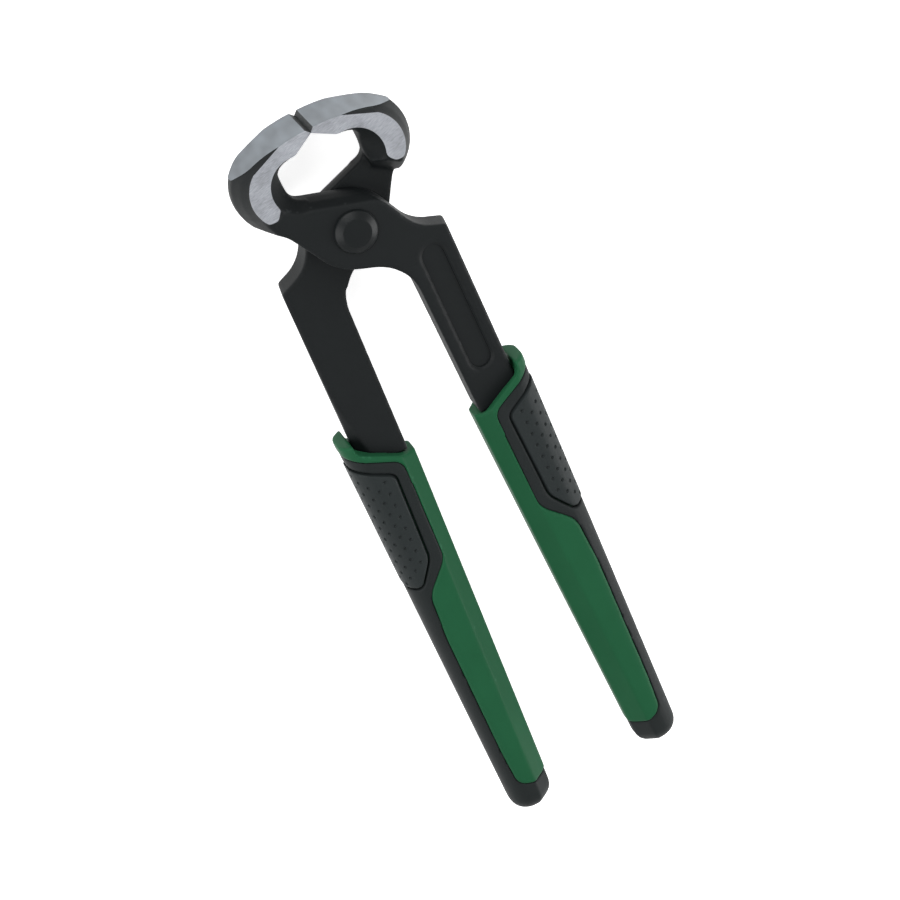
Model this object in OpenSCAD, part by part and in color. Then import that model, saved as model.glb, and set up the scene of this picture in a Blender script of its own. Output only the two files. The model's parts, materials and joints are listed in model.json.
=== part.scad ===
// End cutting nippers (carpenter's pincers): two forged levers crossing in a lap joint on one rivet,
// each with a hard grip sleeve, a soft overmould and a dimpled pad.
// A lever is drawn along its own axis, with the rivet on the Z axis and the head towards +Y.
// The second lever is the first one turned over, and each is turned out by half the splay: there
// the cutting edges meet on the tool's axis.

/* [Overall] */
// Length from the jaws' ends to the handle ends
overall_length = 200; // [170:1:240]
// Angle between the axes of the two levers with the jaws shut
lever_splay = 4.6; // [2:0.1:8]

/* [Jaws] */
// Distance from the rivet to the jaws' ground ends
jaw_reach = 28.8; // [26.5:0.1:31]
// How far the cutting edges lie behind the ground ends, at the bottom of a notch
edge_drop = 1.1; // [0.6:0.1:1.6]
// Height of the flat land on a cutting edge
edge_land = 0.2; // [0.1:0.05:0.4]
// Depth of the bevel behind a cutting edge, on the mouth's side
edge_bevel = 1.4; // [0.8:0.1:2]
// Width across the ground cheeks where the jaw begins
jaw_w = 17.6; // [16.8:0.1:22]
// Width of the cutting edge
edge_w = 15.6; // [10:0.1:17]
// Radius of the forged jaw about its own centre
jaw_r = 12; // [11.2:0.1:12.8]
// Radius of the outer rim of a ground cheek
cheek_r = 8.6; // [8.2:0.1:10.6]
// Width of the full-radius band around the jaw
barrel_w = 3; // [2:0.1:8]
// Distance of the jaw's centre from the tool's axis
jaw_x = 10.7; // [10.2:0.1:11.4]
// Distance of the jaw's centre ahead of the rivet
jaw_y = 17.7; // [17:0.1:18.6]
// Radius of the ground end face
grind_r = 45; // [38:0.5:60]
// Distance of the grind's centre from the tool's axis
grind_x = 1.5; // [0:0.1:3]
// Distance ahead of the rivet at which the cheeks begin to taper
jaw_step_y = 11.5; // [10.5:0.1:12.5]
// How far the jaw's lower end leans back from its foot in the lap plane to the cheek
heel_lean = 4.4; // [3:0.1:6]
// Gap between the cutting edges when the jaws are shut
edge_gap = 0.1; // [0.05:0.01:0.3]

/* [Mouth] */
// Half the width of the opening behind the cutting edges
mouth_half_w = 10; // [9.4:0.1:11]
// Height of the mouth's roof at its side, ahead of the rivet
mouth_side_y = 22.8; // [21:0.1:23.6]
// Radius of the mouth's corners
mouth_corner_r = 3.2; // [2:0.1:4.4]
// How far the mouth flares out to the cheeks
mouth_flare = 4.6; // [1:0.1:5]

/* [Lap joint] */
// Thickness of one lever in the lap
lap_t = 8.2; // [6.5:0.1:8.4]
// Gap between the two lap faces
lap_gap = 0.1; // [0.04:0.01:0.3]
// How far the lap plate's brow is rounded down at its front face
brow_round = 2; // [1:0.1:2.6]
// Diameter of the rivet's shank
rivet_d = 8; // [6:0.1:9]
// Radial clearance of the lever that turns on the rivet
rivet_clear = 0.05; // [0.02:0.01:0.1]
// Diameter of the rivet's head
rivet_head_d = 11.2; // [10:0.1:14]
// Height of the rivet's head
rivet_head_h = 1.7; // [1.2:0.1:3]
// Diameter of the flat on the rivet's head
rivet_flat_d = 7.2; // [5:0.1:9]
// Height of the peened end of the rivet
rivet_tail_h = 0.8; // [0.4:0.1:1.4]

/* [Tangs] */
// Distance of the shoulder's corner from the tool's axis
shoulder_x = 21.7; // [20:0.1:23.5]
// Distance of the shoulder's corner behind the rivet
shoulder_y = 10.5; // [9.5:0.1:12]
// Distance of the tang's inner edge from the tool's axis
tang_in_x = 7.7; // [6.8:0.1:9]
// How far the tang narrows from its shoulder to its collar
tang_taper = 1.6; // [0:0.1:3]
// How far the shoulder's and the tang's outer side leans in at the front face
side_draft = 1.1; // [0.4:0.1:1.6]
// Distance behind the rivet at which the tang bends towards the middle plane
tang_bend_y = 16; // [15:0.5:20]
// Thickness of the tang in the grip
tang_core_t = 6; // [4:0.1:7]
// Width of the recess in the tang's face
recess_w = 6.5; // [4:0.1:8]
// Length of the recess
recess_l = 38; // [20:0.5:42]
// Depth of the recess
recess_depth = 0.9; // [0.5:0.1:1.5]
// Distance of the recess's start ahead of the tang's bend
recess_lead = 3.5; // [0:0.1:4]

/* [Grips] */
// Distance of the grip's inner edge from the lever's axis
grip_in_x = 6; // [4.5:0.1:7]
// Width of the grip at its collar
grip_w = 18; // [17:0.1:21]
// Width of the grip at its end
grip_end_w = 11.8; // [11.4:0.1:16]
// Thickness of the grip at its collar
grip_t = 14.2; // [13:0.1:18]
// Thickness of the grip at its end
grip_end_t = 12; // [11:0.1:16]
// Radius of the grip's long edges
grip_edge_r = 4.8; // [3:0.1:5.2]
// Radius of the grip's rounded end
grip_end_r = 5.2; // [4:0.1:5.4]
// Radius of the ball that rounds off the end's corners
grip_ball_r = 7.4; // [7.1:0.1:9]
// How far that ball would reach past the end
grip_ball_past = 0.4; // [0.3:0.1:0.8]
// Radius of the collar's ear seen from the front
grip_ear_r = 2.4; // [1:0.1:3]
// Distance of the collar's outer ear behind the rivet
collar_ear_y = 52.4; // [48:0.1:56]
// How far the collar's rim lies below the ear beside the tang
collar_rim_drop = 2.6; // [1:0.1:5]
// How far the collar's inner corner lies below the ear
collar_in_drop = 9; // [7:0.1:12]
// Thickness of the soft layer over the sleeve
soft_t = 2; // [1:0.1:2.6]
// Width of the groove round the pad
groove_w = 0.6; // [0.3:0.1:1.2]

/* [Hidden] */
$fn = 96;

// Overrun of every cut, steps of every rounded corner, and the share of an edge a corner may use
cut = 2;
arc_steps = 8;
corner_share = 0.48;

// Colours of the finishes
steel_colour = [0.15, 0.16, 0.16];
rivet_colour = [0.19, 0.20, 0.20];
green_colour = [0.13, 0.40, 0.26];
soft_colour = [0.22, 0.22, 0.24];
pad_colour = [0.20, 0.23, 0.24];

// Angles of the jaw: where its outline and its cheek's rim run straight towards the edge, where the
// neck joins it and where the rim begins
rim_end_angle = 102;
cheek_end_angle = 116;
neck_join_angle = 212;
rim_start_angle = 250;
// Knee of the jaw's rounded rim, as shares of its step in and its step out to the cheek
rim_knee_shares = [0.44, 0.51];
// Foot of the jaw's lower end in the lap plane: two points from the jaw's centre as shares of its radius
foot_shares = [[0.225, -0.483], [-0.417, -0.879]];
// Angle at which the plate's edge below the jaw is taken down
neck_edge_angle = 200;

// Corners of the lap plate as shares of the shoulder's distances from the rivet, with the
// radius of each corner as a share of the shoulder's distance across
brow_shares = [0.369, 0.610, 0.576];
brow_slope_share = -0.38;
waist_shares = [0.650, -0.676, 0.530];
belly_shares = [-0.373, -0.686, 0.645];
neck_shares = [-0.714, 0.695, 0.461];
crotch_y_share = 1.362;
crotch_r_share = 0.737;
shoulder_r_share = 0.037;
// Rounding of the brow: where it starts as a share of the plate, and its knee as a share of the round
brow_start_share = 0.35;
brow_knee_share = 0.27;
// Top of the neck beside the mouth, as a share of the way from the jaw's lower end to its centre
neck_in_share = 0.75;

// Outlines on the grip: share of the width from its inner edge, share of the length from its ear
frame_shares = [[1.300, -0.0043], [0.848, 0.0394], [0.361, 0.0755], [0.261, 0.0964], [0.251, 0.1174],
                [0.260, 0.3188], [0.312, 0.3377], [0.642, 0.3918], [0.730, 0.4219], [0.767, 0.5102],
                [0.764, 0.6190], [0.746, 0.8280], [0.717, 0.8829], [0.484, 0.9236], [0.249, 0.9291],
                [-0.300, 0.9148]];
pad_shares = [[1.300, 0.0235], [0.872, 0.0629], [0.444, 0.0981], [0.424, 0.1174], [0.458, 0.3053],
              [0.548, 0.3346], [0.766, 0.3736], [0.964, 0.3691], [1.300, 0.3541]];

handle_end_y = overall_length - jaw_reach;
grip_l = handle_end_y - collar_ear_y;
jaw_centre = [-jaw_x, jaw_y];
cheek_z = jaw_w / 2;
grind_y = jaw_reach - sqrt(grind_r * grind_r - grind_x * grind_x);
half_splay = lever_splay / 2;
edge_y = jaw_reach - edge_drop;
// Corner of the cutting edge in the lever's own axes, and the underside of its land
edge_tip = [edge_y * sin(half_splay) - edge_gap / 2 * cos(half_splay),
            edge_y * cos(half_splay) + edge_gap / 2 * sin(half_splay)];
land_y = edge_tip[1] - edge_land;
mouth_corner_x = mouth_half_w - mouth_corner_r;
mouth_mid_y = (mouth_side_y + brow_y(-mouth_corner_x)) / 2;
tang_run = collar_ear_y + collar_in_drop - tang_bend_y;
tang_slope = atan((lap_t / 2) / tang_run);
tang_end_x = shoulder_x - tang_taper;
core_in_x = grip_in_x + (grip_end_w - tang_core_t) / 2;
core_end_y = handle_end_y - grip_end_w - soft_t;
rivet_tail_d = rivet_head_d - rivet_head_h / 2;
base_z = max(lap_t + rivet_tail_h + rivet_clear, cheek_z);
// Middle of the part along Y, with both levers turned out by half the splay
middle_y = (jaw_reach - handle_end_y * cos(half_splay)
            + (grip_in_x + grip_end_w / 2) * sin(half_splay)) / 2;

// Height of the lap plate's brow line, which is the floor of the mouth
function brow_y(x) = let (corner = plate_corner(brow_shares))
    corner[1] + brow_slope_share * (x - corner[0]);

// A corner of the lap plate from its shares: x, y and radius
function plate_corner(shares) =
    [shares[0] * shoulder_x, shares[1] * shoulder_y, shares[2] * shoulder_x];

// A point of the grip's plan from its shares across and along
function grip_point(shares) = let (y = collar_ear_y + shares[1] * grip_l)
    [grip_in_x + shares[0] * grip_width(shares[1]), -y];
function grip_width(share) = grip_w + (grip_end_w - grip_w) * share;

// An arc of the given radius in place of the corner b between a and c, limited by its edges
function round_corner(a, b, c, r) = let (
    p = (a - b) / norm(a - b),
    q = (c - b) / norm(c - b),
    half = acos(max(-1, min(1, p * q))) / 2,
    reach = min(r / tan(half), norm(a - b) * corner_share, norm(c - b) * corner_share),
    radius = reach * tan(half),
    middle = (p + q) / norm(p + q),
    centre = b + middle * radius / sin(half),
    from = b + p * reach - centre,
    to = b + q * reach - centre,
    sweep = 180 - 2 * half,
    turn = sign(from[0] * to[1] - from[1] * to[0]))
    [for (i = [0:arc_steps]) let (t = turn * sweep * i / arc_steps)
        centre + [from[0] * cos(t) - from[1] * sin(t), from[0] * sin(t) + from[1] * cos(t)]];

// A closed outline from corners of x, y and radius, with every corner that has one rounded
function rounded(corners) = let (n = len(corners))
    [for (i = [0:n - 1]) let (
        b = [corners[i][0], corners[i][1]],
        a = [corners[(i + n - 1) % n][0], corners[(i + n - 1) % n][1]],
        c = [corners[(i + 1) % n][0], corners[(i + 1) % n][1]])
        each corners[i][2] > 0 ? round_corner(a, b, c, corners[i][2]) : [b]];

// Half of the space between the jaws, open towards the other jaw
module mouth_plan() {
    polygon(rounded([
        [mouth_half_w, land_y, 0],
        [edge_tip[0], land_y, 0],
        [edge_tip[0] - edge_bevel, land_y - edge_bevel, 0],
        [-mouth_half_w, mouth_side_y, mouth_corner_r],
        [-mouth_half_w, brow_y(-mouth_half_w), mouth_corner_r],
        [mouth_half_w, brow_y(mouth_half_w), 0]]));
}

// Jaw seen from the front: a round forging run out to the edge, ground at the end, and cut off
// along the tool's axis up to the edge and at half a right angle above it
module jaw_plan() {
    far = 2 * shoulder_x;
    rim_end = jaw_centre + jaw_r * [cos(rim_end_angle), sin(rim_end_angle)];
    rise = (rim_end[0] - jaw_x) / tan(rim_end_angle);
    difference() {
        intersection() {
            union() {
                translate(jaw_centre) circle(jaw_r);
                polygon([jaw_centre, rim_end, [jaw_x, rim_end[1] + rise], [jaw_x, jaw_y]]);
            }
            translate([-grind_x, grind_y]) circle(grind_r, $fn = 4 * $fn);
            rotate([0, 0, -half_splay]) translate([-edge_gap / 2, 0])
                polygon([[0, 0], [0, edge_y], [-far, edge_y + far], [-far, 0]]);
        }
        mouth_plan();
    }
}

// Lap plate with its neck to the jaw and its tang, seen from the front
module plate_plan() {
    neck = plate_corner(neck_shares);
    neck_join = jaw_centre + jaw_r * [cos(neck_join_angle), sin(neck_join_angle)];
    // The neck's edge runs on past the jaw's rim, which trims it
    neck_past = neck_join + (neck_join - [neck[0], neck[1]]) / 2;
    neck_top_y = (jaw_step_y + jaw_y) / 2;
    neck_in_y = jaw_step_y + neck_in_share * (jaw_y - jaw_step_y);
    difference() {
        intersection() {
            polygon(rounded([
                [shoulder_x, -shoulder_y, shoulder_r_share * shoulder_x],
                plate_corner(waist_shares),
                plate_corner(brow_shares),
                [-mouth_corner_x, brow_y(-mouth_corner_x), 0],
                [-mouth_corner_x, neck_in_y, 0],
                [-jaw_x, neck_in_y, 0],
                [-jaw_x, neck_top_y, 0],
                [neck_past[0], neck_top_y, 0],
                [neck_past[0], neck_past[1], 0],
                neck,
                plate_corner(belly_shares),
                [tang_in_x, -crotch_y_share * shoulder_y, crotch_r_share * shoulder_x],
                [tang_in_x, -tang_bend_y - tang_run, 0],
                [tang_end_x, -tang_bend_y - tang_run, 0]]));
            union() {
                translate(jaw_centre) circle(jaw_r);
                behind(neck_join[1] - lap_gap) square(2 * overall_length, center = true);
            }
        }
        mouth_plan();
    }
}

// Part of a plan ahead of a line across the tool, or behind it
module ahead_of(y) {
    intersection() {
        children();
        translate([-overall_length, y]) square(2 * overall_length);
    }
}

module behind(y) {
    intersection() {
        children();
        translate([-overall_length, y - 2 * overall_length]) square(2 * overall_length);
    }
}

// What takes the forged jaw's edge down to the cheek's rim, in section: radius and height
module rim_section() {
    step_r = jaw_r - cheek_r;
    step_z = cheek_z - barrel_w / 2;
    knee = [jaw_r - rim_knee_shares[0] * step_r, barrel_w / 2 + rim_knee_shares[1] * step_z];
    low_lean = (jaw_r - knee[0]) / (knee[1] - barrel_w / 2);
    high_lean = (knee[0] - cheek_r) / (cheek_z - knee[1]);
    polygon([[jaw_r + low_lean * cut, barrel_w / 2 - cut], [jaw_r + 2 * cut, barrel_w / 2 - cut],
             [jaw_r + 2 * cut, cheek_z + cut], [cheek_r - high_lean * cut, cheek_z + cut], knee]);
}

// That section around the jaw, and in a straight run towards the cutting edge
module rim_cutter() {
    translate([jaw_centre[0], jaw_centre[1], 0]) rotate([0, 0, cheek_end_angle]) {
        rotate_extrude(angle = rim_start_angle - cheek_end_angle) rim_section();
        rotate([90, 0, 0]) linear_extrude(jaw_x + jaw_r) rim_section();
    }
}

// The same section in a straight run off the neck, where the plate's edge fades into the rim
module neck_cutter() {
    translate([jaw_centre[0], jaw_centre[1], 0]) rotate([0, 0, neck_edge_angle])
        translate([lap_gap, 0, 0]) rotate([90, 0, 0]) linear_extrude(2 * jaw_r, center = true) rim_section();
}

// Everything on the jaw's side of a line that keeps clear of the mouth's lower corner
module beside_mouth_plan() {
    far = 2 * shoulder_x;
    polygon([[far, far], [-far, far], [-far, 0], [-jaw_x, 0], [-jaw_x, jaw_step_y],
             [jaw_x - 2 * mouth_half_w, jaw_y], [far, jaw_y]]);
}

// What lies below the jaw's lower end, which leans back from its foot to both cheeks
module heel_cutter() {
    foot = [for (shares = foot_shares) jaw_centre + jaw_r * shares];
    run = foot[1] - foot[0];
    top_z = cheek_z + cut;
    back = heel_lean * top_z / cheek_z;
    far = 2 * shoulder_x;
    translate([foot[0][0], foot[0][1], 0]) rotate([0, 0, atan2(run[1], run[0])]) translate([-far, 0, 0])
        rotate([90, 0, 90]) linear_extrude(2 * far)
            polygon([[0, 0], [-back, top_z], [far, top_z], [far, -top_z], [-back, -top_z]]);
}

// Full-width jaw, tapering to the edge, with ground cheeks
module jaw() {
    side = [[0, -cheek_z], [jaw_step_y, -cheek_z], [jaw_reach, -edge_w / 2], [jaw_reach + cut, -edge_w / 2],
            [jaw_reach + cut, edge_w / 2], [jaw_reach, edge_w / 2], [jaw_step_y, cheek_z], [0, cheek_z]];
    difference() {
        intersection() {
            translate([0, 0, -cheek_z - cut]) linear_extrude(jaw_w + 2 * cut) intersection() {
                jaw_plan();
                beside_mouth_plan();
            }
            translate([-2 * shoulder_x, 0, 0]) rotate([90, 0, 90])
                linear_extrude(3 * shoulder_x) polygon(side);
        }
        for (face = [0, 1]) mirror([0, 0, face]) rim_cutter();
        heel_cutter();
    }
}

// Cone that flares the mouth out to a cheek
module mouth_flare_cutter() {
    start_z = barrel_w / 2;
    lean = mouth_flare / (cheek_z - start_z);
    translate([-mouth_corner_x, mouth_mid_y, start_z])
        cylinder(h = cheek_z - start_z + cut, r1 = mouth_corner_r,
                 r2 = mouth_corner_r + mouth_flare + lean * cut);
}

// What rounds the lap plate's brow over to its front face, from the mouth's corner on
module brow_cutter() {
    start_z = brow_start_share * lap_t;
    knee = [-brow_knee_share * brow_round, (start_z + lap_t) / 2];
    low_lean = -knee[0] / (knee[1] - start_z);
    high_lean = (brow_round + knee[0]) / (lap_t - knee[1]);
    translate([-mouth_corner_x, brow_y(-mouth_corner_x), 0]) rotate([0, 0, atan(brow_slope_share)])
        rotate([90, 0, 90]) linear_extrude(2 * shoulder_x) polygon([
            [low_lean * cut, start_z - cut], knee, [-brow_round - high_lean * cut, lap_t + cut],
            [2 * cut, lap_t + cut], [2 * cut, start_z - cut]]);
}

// Wedge that leans the outer side in, along the line from the shoulder to the collar
module side_cutter() {
    run = tang_bend_y + tang_run - shoulder_y;
    lean = side_draft / lap_t;
    top_z = lap_t + cut;
    translate([shoulder_x, -shoulder_y, 0]) rotate([0, 0, -atan(tang_taper / run)])
        translate([0, cut, 0]) rotate([90, 0, 0]) linear_extrude(run + 2 * cut)
            polygon([[lean * cut, -cut], [2 * cut, -cut], [2 * cut, top_z], [-lean * top_z, top_z]]);
}

// Things in the tang's own plane: its front face at zero, its bend at the origin
module on_tang() {
    translate([0, -tang_bend_y, lap_t]) rotate([tang_slope, 0, 0]) children();
}

// Tang from its bend down into the grip, and the core that the grip is moulded on
module tang() {
    difference() {
        on_tang() translate([0, 0, lap_gap / 2 - lap_t]) linear_extrude(lap_t - lap_gap / 2)
            translate([0, tang_bend_y]) behind(-tang_bend_y) plate_plan();
        side_cutter();
    }
    translate([0, 0, -tang_core_t / 2]) linear_extrude(tang_core_t)
        polygon([[tang_in_x + cut, -tang_bend_y - tang_run + cut],
                 [core_in_x, -core_end_y],
                 [core_in_x + tang_core_t, -core_end_y],
                 [tang_end_x - cut, -tang_bend_y - tang_run + cut]]);
}

// Rounded slot along the middle of the tang's face
module recess_cutter() {
    middle_x = (tang_in_x + shoulder_x - tang_taper / 2) / 2;
    run = recess_l - recess_w;
    top_y = recess_w / 2 - recess_lead;
    on_tang() translate([middle_x, 0, -recess_depth]) rotate([0, 0, -tang_taper / 2])
        linear_extrude(recess_depth + cut) {
            translate([0, -top_y]) circle(recess_w / 2);
            translate([0, -top_y - run]) circle(recess_w / 2);
            translate([-recess_w / 2, -top_y - run]) square([recess_w, run]);
        }
}

// One forged lever with its flared mouth and the bore for the rivet
module lever(bore_d) {
    difference() {
        union() {
            jaw();
            difference() {
                translate([0, 0, lap_gap / 2]) linear_extrude(lap_t - lap_gap / 2)
                    ahead_of(-tang_bend_y) plate_plan();
                neck_cutter();
                side_cutter();
                brow_cutter();
            }
            tang();
        }
        for (face = [0, 1]) mirror([0, 0, face]) mouth_flare_cutter();
        translate([0, 0, -cut]) cylinder(d = bore_d, h = lap_t + 2 * cut);
        recess_cutter();
    }
}

// The grip's rounded envelope, drawn in by an inset: its plan and its side view, a ball-shaped end,
// and the four long edges rounded along their own directions
module grip_body(inset) {
    end_r = grip_end_r - inset;
    end_z = grip_end_t / 2 - inset;
    end_y = -handle_end_y + inset;
    top_z = grip_t / 2 - inset;
    ball_y = -handle_end_y + grip_ball_r - grip_ball_past;
    far = 2 * grip_w;
    difference() {
        intersection() {
            through_grip() polygon(rounded([
                [grip_in_x + inset, end_y, end_r],
                [grip_in_x + grip_end_w - inset, end_y, end_r],
                [grip_in_x + grip_w - inset, -collar_ear_y, grip_ear_r],
                [grip_in_x + inset, -collar_ear_y, 0]]));
            translate([grip_in_x - far, 0, 0]) rotate([90, 0, 90]) linear_extrude(2 * far + grip_w)
                polygon(rounded([
                    [end_y, -end_z, end_r],
                    [-collar_ear_y, -top_z, grip_edge_r],
                    [-collar_ear_y, top_z, grip_edge_r],
                    [end_y, end_z, end_r]]));
            union() {
                translate([grip_in_x + grip_end_w / 2, ball_y, 0]) sphere(grip_ball_r - inset);
                translate([grip_in_x - far, ball_y, -far]) cube([2 * far + grip_w, grip_l, 2 * far]);
            }
        }
        for (face = [0, 1]) mirror([0, 0, face]) {
            edge_cutter(inset, grip_in_x, 0) mirror([1, 0]) edge_section(inset);
            edge_cutter(inset, grip_in_x + grip_w, grip_w - grip_end_w) edge_section(inset);
        }
    }
}

// Run of an edge's section from the collar to the grip's end, drawn in across the grip by its lean
module edge_cutter(inset, x, draw_in) {
    away = x > grip_in_x ? -inset : inset;
    translate([x + away, -collar_ear_y, grip_t / 2 - inset])
        rotate([0, 0, -atan(draw_in / grip_l)])
        rotate([atan((grip_t - grip_end_t) / 2 / grip_l), 0, 0])
        rotate([90, 0, 0]) translate([0, 0, -grip_w]) linear_extrude(grip_l + 2 * grip_w) children();
}

// What rounding takes off a square edge whose corner is at the origin
module edge_section(inset) {
    r = grip_edge_r - inset;
    polygon(concat([[cut, cut], [-r, cut]],
                   [for (i = [0:arc_steps]) let (t = 90 * (1 - i / arc_steps)) r * [cos(t) - 1, sin(t) - 1]],
                   [[cut, -r]]));
}

// Plan of everything below the collar's slanting rim and its outer ear
module below_rim_plan() {
    rim_x = tang_end_x + groove_w;
    polygon([[grip_in_x - cut, -collar_ear_y - collar_in_drop],
             [tang_in_x, -collar_ear_y - collar_in_drop],
             [rim_x, -collar_ear_y - collar_rim_drop],
             [rim_x, -collar_ear_y + cut],
             [grip_in_x + grip_w + cut, -collar_ear_y + cut],
             [grip_in_x + grip_w + cut, -handle_end_y - cut],
             [grip_in_x - cut, -handle_end_y - cut]]);
}

// Upright prism of a plan, through the whole grip
module through_grip() {
    translate([0, 0, -grip_t]) linear_extrude(2 * grip_t) children();
}

// Plans of the soft layer and of the pad let into it
module soft_plan() {
    polygon(concat([for (s = frame_shares) grip_point(s)],
                   [[grip_in_x - grip_w, -handle_end_y - grip_w],
                    [grip_in_x + 2 * grip_w, -handle_end_y - grip_w]]));
}

module pad_plan() {
    polygon([for (s = pad_shares) grip_point(s)]);
}

// The pad's plan drawn in by the groove: shifted away from the frame on its three sides
module pad_inside_plan() {
    intersection() {
        translate([groove_w, -groove_w]) pad_plan();
        translate([groove_w, groove_w]) pad_plan();
    }
}

module grip_shell() {
    intersection() {
        grip_body(0);
        through_grip() below_rim_plan();
    }
}

module grip_sleeve() {
    difference() {
        union() {
            difference() {
                grip_shell();
                through_grip() soft_plan();
            }
            intersection() {
                grip_body(soft_t);
                through_grip() below_rim_plan();
            }
        }
        tang();
    }
}

module grip_overmould() {
    difference() {
        intersection() {
            grip_shell();
            through_grip() soft_plan();
        }
        grip_body(soft_t);
        through_grip() pad_plan();
    }
}

module grip_pad() {
    difference() {
        intersection() {
            grip_shell();
            through_grip() pad_inside_plan();
        }
        grip_body(soft_t);
    }
}

// Places of the two halves: the front one turned out, the back one turned over and out
module front_half() {
    translate([0, -middle_y, base_z]) rotate([0, 0, half_splay]) children();
}

module back_half() {
    translate([0, -middle_y, base_z]) rotate([0, 0, -half_splay]) rotate([0, 180, 0]) children();
}

module front_lever() {
    color(steel_colour) front_half() lever(rivet_d);
}

module back_lever() {
    color(steel_colour) back_half() lever(rivet_d + 2 * rivet_clear);
}

module pivot_rivet() {
    head_z = lap_t;
    tail_z = -lap_t - rivet_clear;
    color(rivet_colour) translate([0, -middle_y, base_z]) rotate_extrude() polygon([
        [0, tail_z - rivet_tail_h],
        [rivet_tail_d / 2 - rivet_tail_h, tail_z - rivet_tail_h],
        [rivet_tail_d / 2, tail_z],
        [rivet_d / 2, tail_z],
        [rivet_d / 2, head_z],
        [rivet_head_d / 2, head_z],
        [rivet_head_d / 2, head_z + rivet_head_h / 3],
        [rivet_flat_d / 2, head_z + rivet_head_h],
        [0, head_z + rivet_head_h]]);
}

module right_grip_sleeve() {
    color(green_colour) front_half() grip_sleeve();
}

module right_grip_overmould() {
    color(soft_colour) front_half() grip_overmould();
}

module right_grip_pad() {
    color(pad_colour) front_half() grip_pad();
}

module left_grip_sleeve() {
    color(green_colour) back_half() grip_sleeve();
}

module left_grip_overmould() {
    color(soft_colour) back_half() grip_overmould();
}

module left_grip_pad() {
    color(pad_colour) back_half() grip_pad();
}

front_lever();
back_lever();
pivot_rivet();
right_grip_sleeve();
right_grip_overmould();
right_grip_pad();
left_grip_sleeve();
left_grip_overmould();
left_grip_pad();
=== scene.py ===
# %% [markdown]
# # End cutting nippers
# Two forged levers cross in a lap joint on one rivet. Each ends in a grip of three moulded pieces: a green
# sleeve, a dark soft layer round it and a dimpled pad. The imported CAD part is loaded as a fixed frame, and
# every piece below is built where its CAD node is, in metres.
# The two halves are one shape turned over, so one half is modelled along its own axis, which is the Y axis.
# It is then turned out by half the angle between the levers, and a copy is turned over for the other half.

# %% Load the frame and keep its box
import json
import math

import bmesh
import bpy
from mathutils import Matrix, Vector


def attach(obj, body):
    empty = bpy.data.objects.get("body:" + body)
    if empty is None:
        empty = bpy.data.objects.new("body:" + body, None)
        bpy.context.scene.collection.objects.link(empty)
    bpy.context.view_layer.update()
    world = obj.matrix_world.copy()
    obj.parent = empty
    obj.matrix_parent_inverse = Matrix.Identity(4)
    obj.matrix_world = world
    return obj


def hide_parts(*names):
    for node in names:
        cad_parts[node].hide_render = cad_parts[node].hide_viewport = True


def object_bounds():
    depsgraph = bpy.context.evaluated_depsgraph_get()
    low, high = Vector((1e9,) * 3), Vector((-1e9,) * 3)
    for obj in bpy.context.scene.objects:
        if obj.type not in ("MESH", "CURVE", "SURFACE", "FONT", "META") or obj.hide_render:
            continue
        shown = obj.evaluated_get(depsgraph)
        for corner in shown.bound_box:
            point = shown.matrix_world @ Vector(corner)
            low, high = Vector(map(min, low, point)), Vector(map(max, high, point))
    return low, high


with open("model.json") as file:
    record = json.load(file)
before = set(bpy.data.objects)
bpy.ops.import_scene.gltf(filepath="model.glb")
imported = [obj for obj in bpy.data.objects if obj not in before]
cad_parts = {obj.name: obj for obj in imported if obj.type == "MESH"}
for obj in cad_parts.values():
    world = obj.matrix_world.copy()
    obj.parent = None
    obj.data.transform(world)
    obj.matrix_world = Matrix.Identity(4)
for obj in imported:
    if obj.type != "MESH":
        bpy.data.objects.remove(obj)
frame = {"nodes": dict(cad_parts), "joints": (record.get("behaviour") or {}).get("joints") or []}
cad_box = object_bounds()
bpy.ops.object.select_all(action="DESELECT")

MM = 0.001
joint = frame["joints"][0]
rivet_place = Vector(joint["pos_m"])
splay = 4.6
half_splay = math.radians(splay / 2)
print("nodes:", sorted(frame["nodes"]))
print("rivet at", [round(c, 5) for c in rivet_place], "and the joint turns", joint["range_deg"], "degrees")

# %% [markdown]
# ## Working by hand in code
# An operator acts on whatever is selected. These helpers put one piece in edit mode, select its faces or
# edges by where they are, and wrap the few operators that every piece needs. A place is given in millimetres
# from the rivet, along the lever.

# %% Places in millimetres
def at(x, y, z=0.0):
    """A place on the lever, in millimetres from the rivet, as metres in the frame."""
    return rivet_place + Vector((x, y, z)) * MM


def from_rivet(place):
    """The reverse of at(): a place in the frame as millimetres from the rivet."""
    return (place - rivet_place) / MM


for corner in cad_box:
    print("corner of the CAD box, in mm from the rivet:", [round(c, 1) for c in from_rivet(corner)])

# %% Edit mode and selections
def put_down():
    """Leaves edit mode, with no piece selected."""
    if bpy.context.mode != "OBJECT":
        bpy.ops.object.mode_set(mode="OBJECT")
    bpy.ops.object.select_all(action="DESELECT")


def work_on(piece):
    """Puts one piece alone in edit mode, with nothing in it selected."""
    put_down()
    piece.select_set(True)
    bpy.context.view_layer.objects.active = piece
    bpy.ops.object.mode_set(mode="EDIT")
    bpy.ops.mesh.select_all(action="DESELECT")


def work_on_all(piece):
    """Puts one piece alone in edit mode, with all of it selected."""
    work_on(piece)
    bpy.ops.mesh.select_all(action="SELECT")


def mark(piece, parts, picked):
    """Selects the picked faces or edges and no others, and says how many there are."""
    for part in parts:
        part.select_set(False)
    for part in picked:
        part.select_set(True)
    bmesh.update_edit_mesh(piece.data)
    return len(picked)


def pick_faces(piece, wanted):
    """Selects the faces for which wanted(middle, normal) holds, and says how many there are."""
    bpy.ops.mesh.select_mode(type="FACE")
    mesh = bmesh.from_edit_mesh(piece.data)
    picked = [f for f in mesh.faces if wanted(from_rivet(f.calc_center_median()), f.normal)]
    return mark(piece, mesh.faces, picked)


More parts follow.
